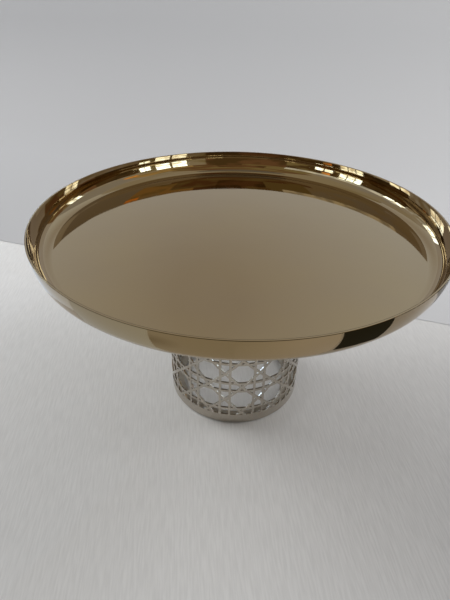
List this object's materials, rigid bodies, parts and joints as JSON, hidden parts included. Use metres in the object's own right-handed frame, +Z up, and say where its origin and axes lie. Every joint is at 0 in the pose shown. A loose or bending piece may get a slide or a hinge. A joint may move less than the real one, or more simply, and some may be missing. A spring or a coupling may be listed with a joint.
{
  "type": "cake stand",
  "caption": "Round cake stand: a shallow mirror-polished tray with an upright rim on a straight tubular pedestal laser-cut in a cane-webbing lattice.",
  "frame": {"origin": "on the stand's axis, in the plane of the surface it rests on", "axes": "+Z up along the axis; one octagon of the lattice faces -Y"},
  "size_m": [0.3, 0.3, 0.1666],
  "materials": {
    "tray_gold": "mirror-polished stainless steel with a champagne-gold vapour coating",
    "pedestal_metal": "polished stainless steel with a pale champagne coating, laser-cut edges bare",
    "pedestal_inner": "satin stainless steel, pale champagne",
    "steel_stud": "bare machined stainless steel",
    "zinc_steel": "bright zinc-plated steel",
    "clear_silicone": "translucent matt silicone",
    "clear_pad": "clear soft plastic"
  },
  "bodies": {
    "root": {"tray_dish": "tray_gold", "tray_weld_stud": "steel_stud", "tray_gasket": "clear_silicone", "pedestal_sleeve": "pedestal_metal", "pedestal_top_cap": "pedestal_inner", "pedestal_base_hoop": "pedestal_inner", "flat_washer": "zinc_steel", "spring_washer": "zinc_steel", "wing_nut": "zinc_steel", "foot_pads": "clear_pad"}
  },
  "joints": []
}
